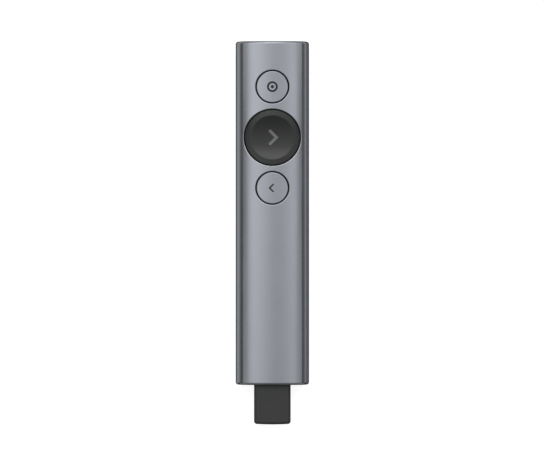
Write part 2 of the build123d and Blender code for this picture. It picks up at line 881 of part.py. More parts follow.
def receiver_case(side):
    """One half of the receiver's case, above or below its mid-height: Keep.TOP or Keep.BOTTOM."""
    with BuildPart() as case:
        with BuildSketch(Plane.XY):
            add(receiver_outline)
        extrude(amount=body_height)
        with BuildSketch(section_at(docked_front_y)):
            RectangleRounded(receiver_width, receiver_height, receiver_corner)
        extrude(amount=receiver_length, mode=Mode.INTERSECT)
        fillet(case.faces().sort_by(Axis.Y)[0].edges(), radius=receiver_end_radius)
        with BuildSketch(section_at(docked_front_y)):
            Rectangle(plug_width, plug_height)
        extrude(amount=plug_root, mode=Mode.SUBTRACT)
        with BuildSketch(section_at(plug_root_y)):
            Rectangle(receiver_hollow_width, receiver_hollow_height)
        extrude(amount=receiver_hollow_length, mode=Mode.SUBTRACT)
        split(bisect_by=Plane.XY.offset(mid_z), keep=side)
    return case.part


keep(receiver_case(Keep.TOP), "receiver_case_top")
keep(receiver_case(Keep.BOTTOM), "receiver_case_bottom")

with BuildPart() as plug_shell:
    with BuildSketch(section_at(plug_tip_y)):
        Rectangle(plug_width, plug_height)
        Rectangle(plug_width - 2 * plug_skin, plug_height - 2 * plug_skin, mode=Mode.SUBTRACT)
    extrude(amount=plug_length + plug_root)
    with BuildSketch(Plane.XY.offset(mid_z)):
        with Locations((0, plug_tip_y - plug_hole_from_tip)):
            with GridLocations(plug_hole_spacing, 0, 2, 1):
                Rectangle(plug_hole_width, plug_hole_length)
    extrude(amount=plug_height, both=True, mode=Mode.SUBTRACT)
keep(plug_shell.part, "plug_shell")

with BuildPart() as plug_tongue:
    with BuildSketch(section_at(plug_tip_y - contact_setback / 2)):
        with Locations((0, plug_skin - plug_height / 2)):
            Rectangle(plug_width - 2 * plug_skin, plug_tongue_height, align=(Align.CENTER, Align.MIN))
    extrude(amount=plug_length + plug_root - contact_setback / 2)
keep(plug_tongue.part, "plug_tongue")

with BuildPart() as plug_contacts:
    with BuildSketch(Plane.XY.offset(tongue_top)):
        with Locations((0, plug_tip_y - contact_setback - contact_length / 2)):
            with GridLocations(contact_pitch, 0, contact_count, 1):
                Rectangle(contact_width, contact_length)
    extrude(amount=contact_skin)
keep(plug_contacts.part, "plug_contacts")

with BuildPart() as receiver_board:
    with Locations((0, plug_root_y, receiver_board_bottom)):
        Box(
            receiver_hollow_width - 2 * fit_clearance,
            receiver_board_length,
            receiver_board_thickness,
            align=(Align.CENTER, Align.MAX, Align.MIN),
        )
keep(receiver_board.part, "receiver_board")

with BuildPart() as receiver_chips:
    for from_plug, x, length, width, height in receiver_chip_places:
        with Locations((x, plug_root_y - from_plug, receiver_board_bottom + receiver_board_thickness)):
            Box(width, length, height, align=(Align.CENTER, Align.CENTER, Align.MIN))
keep(receiver_chips.part, "receiver_chips")


# ---------------------------------------------------------------- export

os.makedirs("parts", exist_ok=True)
for part in finished:
    export_step(part, f"parts/{part.label}.step")
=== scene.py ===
"""Looks of the wireless presentation clicker: oval metal tube, three keys, docked receiver.

Metres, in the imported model's frame: X across the tube, +Y from tail to nose, +Z up out of the keys.
"""
from __future__ import annotations

import sys

import logging
import math
from collections.abc import Iterable
from dataclasses import dataclass
from enum import Enum

import bmesh
import bpy
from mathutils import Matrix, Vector

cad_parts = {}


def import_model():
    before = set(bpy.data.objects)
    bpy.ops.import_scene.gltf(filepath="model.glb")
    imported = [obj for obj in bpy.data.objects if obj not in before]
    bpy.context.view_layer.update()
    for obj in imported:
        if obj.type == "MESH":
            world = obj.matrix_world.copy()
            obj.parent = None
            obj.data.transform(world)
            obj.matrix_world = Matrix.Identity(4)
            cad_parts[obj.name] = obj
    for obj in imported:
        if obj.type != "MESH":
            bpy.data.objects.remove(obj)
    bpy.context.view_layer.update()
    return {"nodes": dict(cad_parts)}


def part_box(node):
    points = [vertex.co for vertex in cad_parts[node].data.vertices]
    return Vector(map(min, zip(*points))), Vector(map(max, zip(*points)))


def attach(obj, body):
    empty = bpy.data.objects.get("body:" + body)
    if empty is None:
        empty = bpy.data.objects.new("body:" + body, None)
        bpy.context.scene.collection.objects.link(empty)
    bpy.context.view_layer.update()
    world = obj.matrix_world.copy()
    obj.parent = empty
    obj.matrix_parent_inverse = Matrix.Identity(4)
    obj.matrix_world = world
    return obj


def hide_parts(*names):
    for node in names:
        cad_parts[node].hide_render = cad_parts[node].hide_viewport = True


LOG = logging.getLogger("clicker")
MM = 0.001
IN_DEGREES = math.degrees(1.0)
# Finer layers of the broad clouds that tint a finish
CLOUD_DETAIL = 3.0
Colour = tuple[float, float, float]
Axes = tuple[float, float, float]
Ends = tuple[float, float]
Stops = tuple[tuple[float, float], ...]


class Slot(Enum):
    """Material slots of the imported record."""

    TUBE = "anodised_tube"
    END_CAP = "soft_black"
    RECEIVER = "receiver_grey"
    PALE_SYMBOL = "symbol_grey"
    DARK_SYMBOL = "symbol_dark"
    FRAME = "frame_black"
    CARRIER = "carrier_white"
    BOARD = "board_green"
    CHIP = "chip_black"
    SOCKET = "socket_white"
    STEEL = "plain_steel"
    SCREW = "screw_steel"
    CONTACT = "contact_gold"
    CELL = "cell_wrap"
    PAD = "pad_foam"
    RED_LEAD = "lead_red"
    BLACK_LEAD = "lead_black"


class Body(Enum):
    """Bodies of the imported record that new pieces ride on."""

    NEXT_KEY = "next_key"


# ---------------------------------------------------------------- finishes


class NodeGraph:
    """Shader nodes of a material or a world, with short ways to add and join them."""

    def __init__(self, owner: bpy.types.Material | bpy.types.World) -> None:
        """Starts without nodes.

        Args:
            owner: The material or the world that the nodes belong to.
        """
        owner.use_nodes = True
        self.tree = owner.node_tree
        self.tree.nodes.clear()

    def add(self, kind: str) -> bpy.types.Node:
        """Adds one node of that kind."""
        return self.tree.nodes.new(kind)

    def join(self, source: bpy.types.NodeSocket | float, target: bpy.types.NodeSocket) -> None:
        """Links an output to an input, or sets the input to a constant."""
        if isinstance(source, (int, float)):
            target.default_value = source
        else:
            self.tree.links.new(source, target)

    def math(
        self,
        operation: str,
        first: bpy.types.NodeSocket | float,
        second: bpy.types.NodeSocket | float,
    ) -> bpy.types.NodeSocket:
        """Works out one value from two.

        Args:
            operation: What is done with them.
            first: The first value.
            second: The second value.

        Returns:
            The result.
        """
        node = self.add("ShaderNodeMath")
        node.operation = operation
        self.join(first, node.inputs[0])
        self.join(second, node.inputs[1])
        return node.outputs["Value"]

    def times(
        self,
        first: bpy.types.NodeSocket | float,
        second: bpy.types.NodeSocket | float,
    ) -> bpy.types.NodeSocket:
        """Multiplies two values."""
        return self.math("MULTIPLY", first, second)

    def choose(
        self,
        share: bpy.types.NodeSocket,
        first: bpy.types.NodeSocket | float,
        second: bpy.types.NodeSocket | float,
    ) -> bpy.types.NodeSocket:
        """Mixes two values.

        Args:
            share: 0 gives the first value, 1 the second.
            first: The first value.
            second: The second value.

        Returns:
            The mixed value.
        """
        mix = self.add("ShaderNodeMix")
        self.join(share, mix.inputs["Factor"])
        self.join(first, mix.inputs["A"])
        self.join(second, mix.inputs["B"])
        return mix.outputs["Result"]

    def curve(self, source: bpy.types.NodeSocket, stops: Stops) -> bpy.types.NodeSocket:
        """Reads a value off a line of stops.

        Args:
            source: Where on the line.
            stops: Pairs of a place and the value there, in order.

        Returns:
            The value at that place.
        """
        first, last = stops[0][0], stops[-1][0]
        share = self.math("DIVIDE", self.math("SUBTRACT", source, first), last - first)
        ramp = self.add("ShaderNodeValToRGB")
        self.join(share, ramp.inputs["Fac"])
        elements = ramp.color_ramp.elements
        elements.remove(elements[1])
        for index, (place, value) in enumerate(stops):
            position = (place - first) / (last - first)
            stop = elements[0] if index == 0 else elements.new(position)
            stop.position = position
            stop.color = (value, value, value, 1.0)
        return ramp.outputs["Color"]

    def crossed(
        self,
        first: bpy.types.NodeSocket,
        first_stops: Stops,
        second: bpy.types.NodeSocket,
        second_stops: Stops,
    ) -> bpy.types.NodeSocket:
        """Reads two lines of stops and multiplies what they give.

        Args:
            first: Where on the first line.
            first_stops: The first line.
            second: Where on the second line.
            second_stops: The second line.

        Returns:
            The product.
        """
        return self.times(self.curve(first, first_stops), self.curve(second, second_stops))


class FinishGraph(NodeGraph):
    """Shader nodes of one finish: a surface shader and the patterns that drive it."""

    def __init__(self, name: str, metallic: float, roughness: float, level: float = 0.5) -> None:
        """Starts a material with one surface shader.

        Args:
            name: Name of the material.
            metallic: 1 for bare metal, 0 for everything else.
            roughness: Roughness where no pattern drives it.
            level: Specular level of the surface.
        """
        self.material = bpy.data.materials.new(name)
        super().__init__(self.material)
        output = self.add("ShaderNodeOutputMaterial")
        self.shader = self.add("ShaderNodeBsdfPrincipled")
        self.shader.inputs["Metallic"].default_value = metallic
        self.shader.inputs["Roughness"].default_value = roughness
        self.shader.inputs["Specular IOR Level"].default_value = level
        self.join(self.shader.outputs["BSDF"], output.inputs["Surface"])

    def place(self, stretch: Axes) -> bpy.types.NodeSocket:
        """Gives the point on the piece, in metres.

        Args:
            stretch: Factor on each axis. A factor under 1 draws a pattern out along that axis.

        Returns:
            The stretched point.
        """
        point = self.add("ShaderNodeTexCoord").outputs["Object"]
        mapping = self.add("ShaderNodeMapping")
        mapping.inputs["Scale"].default_value = stretch
        self.join(point, mapping.inputs["Vector"])
        return mapping.outputs["Vector"]

    def noise(
        self,
        grain: float,
        detail: float = 2.0,
        stretch: Axes = (1.0, 1.0, 1.0),
    ) -> bpy.types.NodeSocket:
        """Adds a cloudy pattern.

        Args:
            grain: Size of one cloud, in metres.
            detail: How many finer layers it has.
            stretch: Factor on each axis.

        Returns:
            The pattern, from 0 to 1.
        """
        pattern = self.add("ShaderNodeTexNoise")
        pattern.inputs["Scale"].default_value = 1 / grain
        pattern.inputs["Detail"].default_value = detail
        self.join(self.place(stretch), pattern.inputs["Vector"])
        return pattern.outputs["Fac"]

    def cells(self, pitch: float, feature: str = "F1") -> bpy.types.NodeSocket:
        """Adds a pattern of cells.

        Args:
            pitch: Distance from one cell to the next, in metres.
            feature: What is measured: the distance to the cell's middle, or to its edge.

        Returns:
            The distance, as a share of the pitch.
        """
        pattern = self.add("ShaderNodeTexVoronoi")
        pattern.feature = feature
        pattern.inputs["Scale"].default_value = 1 / pitch
        self.join(self.place((1.0, 1.0, 1.0)), pattern.inputs["Vector"])
        return pattern.outputs["Distance"]

    def span(
        self,
        source: bpy.types.NodeSocket,
        low: float,
        high: float,
        reach: Ends = (0.3, 0.7),
    ) -> bpy.types.NodeSocket:
        """Turns a pattern's range into another one.

        Args:
            source: The pattern.
            low: Result at the reach's start and below.
            high: Result at the reach's end and above.
            reach: Pattern values that give low and high.

        Returns:
            The new value.
        """
        node = self.add("ShaderNodeMapRange")
        start, end = reach
        ends = {"From Min": start, "From Max": end, "To Min": low, "To Max": high}
        for name, value in ends.items():
            node.inputs[name].default_value = value
        self.join(source, node.inputs["Value"])
        return node.outputs["Result"]

    def tint(
        self,
        share: bpy.types.NodeSocket,
        first: bpy.types.NodeSocket | Colour,
        second: Colour,
    ) -> bpy.types.NodeSocket:
        """Mixes two colours by a pattern.

        Args:
            share: 0 gives the first colour, 1 the second.
            first: A colour, or an earlier mix.
            second: The other colour.

        Returns:
            The mixed colour.
        """
        mix = self.add("ShaderNodeMix")
        mix.data_type = "RGBA"
        self.join(share, mix.inputs["Factor"])
        if isinstance(first, tuple):
            mix.inputs["A"].default_value = (*first, 1.0)
        else:
            self.join(first, mix.inputs["A"])
        mix.inputs["B"].default_value = (*second, 1.0)
        return mix.outputs["Result"]

    def tones(
        self,
        pattern: bpy.types.NodeSocket,
        base: Colour,
        factors: Ends,
        reach: Ends = (0.3, 0.7),
    ) -> bpy.types.NodeSocket:
        """Makes one colour lighter and darker by a pattern.

        Args:
            pattern: The pattern.
            base: The colour.
            factors: Factors on the colour at the pattern's low and high end.
            reach: Pattern values that count as its low and high end.

        Returns:
            The varied colour.
        """
        low, high = factors
        return self.tint(self.span(pattern, 0.0, 1.0, reach), shade(base, low), shade(base, high))

    def specks(
        self,
        pattern: bpy.types.NodeSocket,
        under: bpy.types.NodeSocket | Colour,
        base: Colour,
        cover: Ends,
    ) -> bpy.types.NodeSocket:
        """Lays fine darker specks over a colour.

        Args:
            pattern: Where the specks are.
            under: The colour under them.
            base: The plain colour that they are darker than.
            cover: How far a speck covers what is under it, and the factor on the plain colour.

        Returns:
            The speckled colour.
        """
        most, factor = cover
        return self.tint(self.span(pattern, 0.0, most), under, shade(base, factor))

    def colour(self, source: bpy.types.NodeSocket) -> None:
        """Takes the base colour from a mix."""
        self.join(source, self.shader.inputs["Base Color"])

    def roughen(self, pattern: bpy.types.NodeSocket, roughness: float, spread: Ends) -> None:
        """Varies the roughness by a pattern.

        Args:
            pattern: The pattern.
            roughness: The plain roughness.
            spread: What is added to it at the pattern's low and high end.
        """
        low, high = spread
        varied = self.span(pattern, roughness + low, roughness + high)
        self.join(varied, self.shader.inputs["Roughness"])

    def relief(self, *layers: tuple[bpy.types.NodeSocket, float]) -> None:
        """Adds fine relief.

        Args:
            layers: Pairs of a pattern and its height in metres, coarse ones first.
        """
        normal = None
        for height, distance in layers:
            bump = self.add("ShaderNodeBump")
            bump.inputs["Strength"].default_value = 1.0
            bump.inputs["Distance"].default_value = distance
            self.join(height, bump.inputs["Height"])
            if normal is not None:
                self.join(normal, bump.inputs["Normal"])
            normal = bump.outputs["Normal"]
        self.join(normal, self.shader.inputs["Normal"])


def shade(colour: Colour, factor: float) -> Colour:
    """Gives a colour made lighter or darker by one factor."""
    return (colour[0] * factor, colour[1] * factor, colour[2] * factor)


@dataclass(frozen=True)
class Finish:
    """What one surface of the clicker is made of."""

    name: str
    base: Colour

    def material(self) -> bpy.types.Material:
        """Gives the finish's material, made on first use."""
        return bpy.data.materials.get(self.name) or self.mix()

    def mix(self) -> bpy.types.Material:
        """Makes the material."""
        raise NotImplementedError


@dataclass(frozen=True)
class BlastedAluminium(Finish):
    """Bead-blasted and anodised aluminium: a fine even grain and faint traces of handling."""

    roughness: float = 0.22
    grain: float = 0.11 * MM
    grain_height: float = 0.0015 * MM
    grain_cover: Ends = (0.5, 0.9)
    smudge: float = 14.0 * MM
    smudge_tones: Ends = (0.975, 1.025)
    smudge_spread: Ends = (-0.02, 0.03)

    def mix(self) -> bpy.types.Material:
        """Makes the material."""
        graph = FinishGraph(self.name, 1.0, self.roughness)
        smudge = graph.noise(self.smudge, CLOUD_DETAIL)
        blast = graph.noise(self.grain)
        tone = graph.tones(smudge, self.base, self.smudge_tones)
        graph.colour(graph.specks(blast, tone, self.base, self.grain_cover))
        graph.roughen(smudge, self.roughness, self.smudge_spread)
        graph.relief((blast, self.grain_height))
        return graph.material


@dataclass(frozen=True)
class Moulding(Finish):
    """Moulded plastic with the fine grain of an eroded mould."""

    roughness: float = 0.5
    grain: float = 0.16 * MM
    grain_height: float = 0.004 * MM
    mottle: float = 0.08
    level: float = 0.5
    cloud: float = 5 * MM
    grain_cover: Ends = (0.6, 0.8)
    grain_spread: Ends = (-0.05, 0.06)

    def mix(self) -> bpy.types.Material:
        """Makes the material."""
        graph = FinishGraph(self.name, 0.0, self.roughness, self.level)
        cloud = graph.noise(self.cloud, CLOUD_DETAIL)
        grain = graph.noise(self.grain)
        tone = graph.tones(cloud, self.base, (1 - self.mottle, 1 + self.mottle))
        graph.colour(graph.specks(grain, tone, self.base, self.grain_cover))
        graph.roughen(grain, self.roughness, self.grain_spread)
        graph.relief((grain, self.grain_height))
        return graph.material


@dataclass(frozen=True)
class PlatedMetal(Finish):
    """Rolled and plated sheet or turned metal, with hairlines along one axis."""

    roughness: float = 0.28
    stretch: Axes = (1.0, 0.03, 1.0)
    hairline: float = 0.06 * MM
    hairline_detail: float = 2.0
    hairline_height: float = 0.0008 * MM
    hairline_cover: Ends = (0.4, 0.82)
    hairline_spread: Ends = (-0.06, 0.1)
    stain: float = 3 * MM
    stain_tones: Ends = (0.92, 1.04)

    def mix(self) -> bpy.types.Material:
        """Makes the material."""
        graph = FinishGraph(self.name, 1.0, self.roughness)
        lines = graph.noise(self.hairline, self.hairline_detail, self.stretch)
        stain = graph.noise(self.stain, CLOUD_DETAIL)
        tone = graph.tones(stain, self.base, self.stain_tones)
        graph.colour(graph.specks(lines, tone, self.base, self.hairline_cover))
        graph.roughen(lines, self.roughness, self.hairline_spread)
        graph.relief((lines, self.hairline_height))
        return graph.material


@dataclass(frozen=True)
class SolderMask(Finish):
    """Circuit board: glossy mask over copper tracks, with tinned holes."""

    roughness: float = 0.35
    track: Colour = (0.035, 0.2, 0.085)
    track_pitch: float = 1.9 * MM
    track_reach: Ends = (0.05, 0.07)
    track_height: float = 0.03 * MM
    tin: Colour = (0.62, 0.6, 0.55)
    hole_pitch: float = 1.3 * MM
    hole_reach: Ends = (0.1, 0.13)
    hole_height: float = 0.02 * MM
    weave: float = 0.3 * MM
    weave_detail: float = 2.0
    weave_stretch: Axes = (1.0, 0.25, 1.0)
    weave_cover: Ends = (0.35, 0.7)

    def mix(self) -> bpy.types.Material:
        """Makes the material."""
        graph = FinishGraph(self.name, 0.0, self.roughness)
        edge = graph.cells(self.track_pitch, "DISTANCE_TO_EDGE")
        track = graph.span(edge, 1.0, 0.0, self.track_reach)
        hole = graph.span(graph.cells(self.hole_pitch), 1.0, 0.0, self.hole_reach)
        weave = graph.noise(self.weave, self.weave_detail, self.weave_stretch)
        base = graph.specks(weave, self.base, self.base, self.weave_cover)
        graph.colour(graph.tint(hole, graph.tint(track, base, self.track), self.tin))
        graph.relief((track, self.track_height), (hole, self.hole_height))
        return graph.material


@dataclass(frozen=True)
class FoilPouch(Finish):
    """Creased aluminium foil of a pouch cell."""

    metallic: float = 0.85
    roughness: float = 0.32
    crease: float = 3.5 * MM
    crease_detail: float = 4.0
    crease_stretch: Axes = (1.0, 0.4, 1.0)
    crease_painted_shading: Ends = (0.85, 1.1)
    crease_height: float = 0.15 * MM
    pebble: float = 0.4 * MM
    pebble_spread: Ends = (-0.08, 0.1)
    pebble_height: float = 0.01 * MM

    def mix(self) -> bpy.types.Material:
        """Makes the material."""
        graph = FinishGraph(self.name, self.metallic, self.roughness)
        crease = graph.noise(self.crease, self.crease_detail, self.crease_stretch)
        pebble = graph.noise(self.pebble)
        # Painted shade in the crease hollows and painted highlight on the ridges, following the
        # crease relief
        graph.colour(graph.tones(crease, self.base, self.crease_painted_shading))
        graph.roughen(pebble, self.roughness, self.pebble_spread)
        graph.relief((crease, self.crease_height), (pebble, self.pebble_height))
        return graph.material


@dataclass(frozen=True)
class CellFoam(Finish):
    """Dense foam with open cells."""

    roughness: float = 0.9
    level: float = 0.2
    pore: float = 0.35 * MM
    pore_painted_shading: Ends = (0.5, 1.3)
    pore_reach: Ends = (0.1, 0.6)
    pore_height: float = 0.08 * MM

    def mix(self) -> bpy.types.Material:
        """Makes the material."""
        graph = FinishGraph(self.name, 0.0, self.roughness, self.level)
        pore = graph.cells(self.pore)
        # Painted shade: darker in the middle of each pore where the relief sinks, lighter on the
        # walls between
        graph.colour(graph.tones(pore, self.base, self.pore_painted_shading, self.pore_reach))
        graph.relief((pore, self.pore_height))
        return graph.material


# Inlaid symbols and leads have a finer grain than the mouldings
INLAY = {"grain": 0.1 * MM, "grain_height": 0.001 * MM, "mottle": 0.03}
INSULATION = {"roughness": 0.4, "grain": 0.2 * MM, "grain_height": 0.002 * MM}

FINISHES: dict[Slot, Finish] = {
    Slot.TUBE: BlastedAluminium("slate_anodised_aluminium", (0.29, 0.304, 0.33)),
    Slot.END_CAP: Moulding("dark_matt_moulding", (0.014, 0.0152, 0.0148), 0.28, level=0.4),
    Slot.RECEIVER: Moulding("receiver_moulding", (0.0275, 0.0295, 0.028), 0.56, level=0.45),
    Slot.PALE_SYMBOL: Moulding("pale_inlay", (0.15, 0.155, 0.15), 0.45, **INLAY),
    Slot.DARK_SYMBOL: Moulding("dark_inlay", (0.004, 0.005, 0.008), 0.4, level=0.25, **INLAY),
    Slot.FRAME: Moulding("frame_moulding", (0.02, 0.02, 0.022), 0.6),
    Slot.CARRIER: Moulding("carrier_moulding", (0.72, 0.71, 0.68), 0.5),
    Slot.BOARD: SolderMask("solder_mask", (0.018, 0.12, 0.055)),
    Slot.CHIP: Moulding("chip_moulding", (0.02, 0.02, 0.022), 0.55, grain=0.08 * MM),
    Slot.SOCKET: Moulding("socket_moulding", (0.78, 0.76, 0.7), 0.45),
    Slot.STEEL: PlatedMetal("nickel_plated_steel", (0.62, 0.62, 0.61)),
    Slot.SCREW: PlatedMetal("blackened_steel", (0.18, 0.18, 0.19), 0.38, (1.0, 1.0, 1.0)),
    Slot.CONTACT: PlatedMetal("gold_flashed_contact", (0.83, 0.62, 0.25), 0.22),
    Slot.CELL: FoilPouch("cell_foil", (0.55, 0.56, 0.58)),
    Slot.PAD: CellFoam("pad_foam", (0.04, 0.04, 0.042)),
    Slot.RED_LEAD: Moulding("red_insulation", (0.5, 0.02, 0.02), **INSULATION),
    Slot.BLACK_LEAD: Moulding("black_insulation", (0.02, 0.02, 0.02), **INSULATION),
}


# ---------------------------------------------------------------- studio


@dataclass
class Studio:
    """Pale floor, soft boxes overhead and a camera that looks straight down."""

    camera_height: float = 1100 * MM
    camera_x: float = -0.135 * MM
    camera_y: float = -0.01 * MM
    lens: float = 188.9
    clip_start: float = 0.01
    clip_end: float = 20.0
    floor_z: float = -0.02 * MM
    floor_half_size: float = 2.5
    floor_tone: float = 0.8
    # The floor as the camera sees it: a white glow over a little of the light that falls on it
    floor_glow: float = 0.88
    floor_shadow: float = 0.3
    # The floor as metal sees it: lit, with a little glow, and painted shade by place: dimmer on the
    # right, and a painted shadow that makes it dark close beside the tube and behind it
    mirrored_glow: float = 0.36
    floor_across: Stops = ((-26 * MM, 0.74), (-20 * MM, 0.05), (20 * MM, 0.05), (26 * MM, 0.36))
    floor_along: Stops = ((-71 * MM, 0.1), (-66 * MM, 1.0))
    # The painted shade lifts right in front of the nose, where it is pale again
    patch_across: Stops = ((-12 * MM, 0.0), (-8 * MM, 1.0), (8 * MM, 1.0), (12 * MM, 0.0))
    patch_along: Stops = ((72 * MM, 0.0), (76 * MM, 0.9))
    # Brightness of the soft boxes by the angle from straight up, in degrees, towards +X
    across: Stops = (
        (-90, 0.8), (-64, 0.2), (-38.5, 0.2), (-33, 1.4), (-29, 1.6), (-12, 1.26), (0, 0.98),
        (10, 0.92), (24, 1.14), (31, 1.5), (35, 1.2), (40, 0.2), (68, 0.25), (90, 0.9),
    )
    # A factor on it by the angle of the lean towards the nose, in degrees
    along: Stops = (
        (-90, 0.2), (-35, 0.25), (-18, 0.42), (-10, 0.6), (-4, 0.87), (5, 1.15),
        (15, 1.05), (22, 1.6), (33, 1.8), (40, 1.1), (60, 0.8), (90, 0.9),
    )
    # At a large lean to either end another line takes over from across, by this share
    nose_share: Stops = ((25, 0.0), (45, 1.0))
    nose_across: Stops = (
        (-75, 0.8), (-55, 0.45), (-40, 0.45), (-30, 1.0), (30, 1.0), (40, 0.45), (55, 0.45),
        (75, 0.8),
    )
    tail_share: Stops = ((-45, 1.0), (-25, 0.0))
    tail_across: Stops = ((-52, 2.6), (-38, 1.0), (38, 1.0), (52, 2.6))
    # One more small soft box on the nose's side, which shows in the dish
    lamp_across: Stops = ((-20, 0.0), (-12, 1.0), (12, 1.0), (20, 0.0))
    lamp_along: Stops = ((15, 0.0), (22, 1.5), (28, 2.2), (34, 2.0), (40, 0.0))

    def build(self) -> None:
        """Sets up the floor, the light and the camera."""
        self.floor()
        self.light()
        self.camera()
        bpy.context.scene.view_settings.view_transform = "Standard"
        LOG.info("studio ready")

    def floor(self) -> None:
        """Lays the floor. The camera sees it white, metal sees it lit and with painted shade by
        place, and it keeps the shadow.
        """
        mesh = bmesh.new()
        bmesh.ops.create_grid(mesh, x_segments=1, y_segments=1, size=self.floor_half_size)
        bmesh.ops.translate(mesh, verts=mesh.verts, vec=(0.0, 0.0, self.floor_z))
        floor = finished(mesh, "floor")
        material = bpy.data.materials.new("white_floor")
        graph = NodeGraph(material)
        rays = graph.add("ShaderNodeLightPath").outputs
        place = graph.add("ShaderNodeSeparateXYZ")
        graph.join(graph.add("ShaderNodeTexCoord").outputs["Object"], place.inputs["Vector"])
        x, y = place.outputs["X"], place.outputs["Y"]
        # Painted shade of the floor as metal sees it: dimmer on the right, a painted shadow beside
        # and behind the tube, pale again before the nose
        painted_floor_shade = graph.math(
            "MAXIMUM",
            graph.crossed(x, self.floor_across, y, self.floor_along),
            graph.crossed(x, self.patch_across, y, self.patch_along),
        )
        mirrored = graph.math("MAXIMUM", rays["Is Glossy Ray"], rays["Is Transmission Ray"])
        tone = graph.choose(mirrored, self.floor_tone, graph.times(painted_floor_shade, self.floor_tone))
        tone = graph.choose(rays["Is Camera Ray"], tone, self.floor_shadow)
        shine = graph.times(mirrored, graph.times(painted_floor_shade, self.mirrored_glow))
        shine = graph.choose(rays["Is Camera Ray"], shine, self.floor_glow)
        lit = graph.add("ShaderNodeBsdfDiffuse")
        graph.join(tone, lit.inputs["Color"])
        glow = graph.add("ShaderNodeEmission")
        graph.join(shine, glow.inputs["Strength"])
        seen = graph.add("ShaderNodeAddShader")
        graph.join(lit.outputs["BSDF"], seen.inputs[0])
        graph.join(glow.outputs["Emission"], seen.inputs[1])
        output = graph.add("ShaderNodeOutputMaterial")
        graph.join(seen.outputs["Shader"], output.inputs["Surface"])
        floor.data.materials.append(material)

    def light(self) -> None:
        """Hangs the soft boxes: a world whose brightness depends on the direction alone."""
        world = bpy.data.worlds.new("soft_boxes")
        bpy.context.scene.world = world
        graph = NodeGraph(world)
        direction = graph.add("ShaderNodeSeparateXYZ")
        generated = graph.add("ShaderNodeTexCoord").outputs["Generated"]
        graph.join(generated, direction.inputs["Vector"])
        turn = graph.math("ARCTAN2", direction.outputs["X"], direction.outputs["Z"])
        turn = graph.times(turn, IN_DEGREES)
        lean = graph.math("ARCSINE", direction.outputs["Y"], 0.0)
        lean = graph.times(lean, IN_DEGREES)
        across = graph.curve(turn, self.across)
        for share, far_across in (
            (self.nose_share, self.nose_across),
            (self.tail_share, self.tail_across),
        ):
            across = graph.choose(graph.curve(lean, share), across, graph.curve(turn, far_across))
        boxes = graph.times(across, graph.curve(lean, self.along))
        lamp = graph.crossed(turn, self.lamp_across, lean, self.lamp_along)
        boxes = graph.math("ADD", boxes, lamp)
        rays = graph.add("ShaderNodeLightPath").outputs
        sky = graph.add("ShaderNodeBackground")
        sky.inputs["Color"].default_value = (1.0, 1.0, 1.0, 1.0)
        graph.join(graph.choose(rays["Is Camera Ray"], boxes, 1.0), sky.inputs["Strength"])
        output = graph.add("ShaderNodeOutputWorld")
        graph.join(sky.outputs["Background"], output.inputs["Surface"])

    def camera(self) -> None:
        """Puts the camera straight above the clicker, with the nose at the top of the picture."""
        data = bpy.data.cameras.new("camera")
        data.lens = self.lens
        data.clip_start = self.clip_start
        data.clip_end = self.clip_end
        camera = bpy.data.objects.new("camera", data)
        camera.location = (self.camera_x, self.camera_y, self.camera_height)
        bpy.context.scene.collection.objects.link(camera)
        bpy.context.scene.camera = camera


# ---------------------------------------------------------------- pieces


def finished(mesh: bmesh.types.BMesh, name: str) -> bpy.types.Object:
    """Turns a worked mesh into an object of the scene.

    Args:
        mesh: The mesh, in metres and in its place. It is freed here.
        name: Name of the object.

    Returns:
        The object, with smooth faces.
    """
    data = bpy.data.meshes.new(name)
    mesh.to_mesh(data)
    mesh.free()
    data.shade_smooth()
    piece = bpy.data.objects.new(name, data)
    bpy.context.scene.collection.objects.link(piece)
    return piece


@dataclass
class Assembly:
    """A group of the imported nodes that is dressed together."""

    nodes: dict[str, bpy.types.Object]

    def dress(self, slot: Slot, *names: str) -> None:
        """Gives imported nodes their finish.

        Args:
            slot: The record's slot that the nodes have.
            names: Names of the nodes.
        """
        for name in names:
            node = self.nodes[name]
            for place in node.material_slots:
                place.material = FINISHES[slot].material()
            LOG.info("%s dressed in %s", name, FINISHES[slot].name)

    def fit(self, piece: bpy.types.Object, slot: Slot, body: Body, *replaced: str) -> None:
        """Gives a new piece its finish and its body, and hides the nodes that it stands for.

        Args:
            piece: The new piece.
            slot: The record's slot that it takes its finish from.
            body: The body that it moves with.
            replaced: Nodes that it replaces.
        """
        piece.data.materials.append(FINISHES[slot].material())
        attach(piece, body.value)
        if replaced:
            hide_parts(*replaced)
        LOG.info("%s made, rides on %s", piece.name, body.value)


@dataclass
class Housing(Assembly):
    """Tube, end caps, clips and tail screws."""

    def build(self) -> None:
        """Dresses the housing."""
        self.dress(Slot.TUBE, "body_tube")
        self.dress(Slot.END_CAP, "nose_cap", "tail_cap")
        self.dress(Slot.STEEL, "receiver_clips")
        self.dress(Slot.SCREW, "tail_cap_screws")


@dataclass
class FlushKey(Assembly):
    """A small key of the tube's own metal, flush with the crown, over its switch."""

    key: str

    def build(self) -> None:
        """Dresses the key and its switch."""
        self.dress(Slot.TUBE, f"{self.key}_key_cap")
        self.dress(Slot.DARK_SYMBOL, f"{self.key}_key_symbol")
        dress_switch(self, self.key)


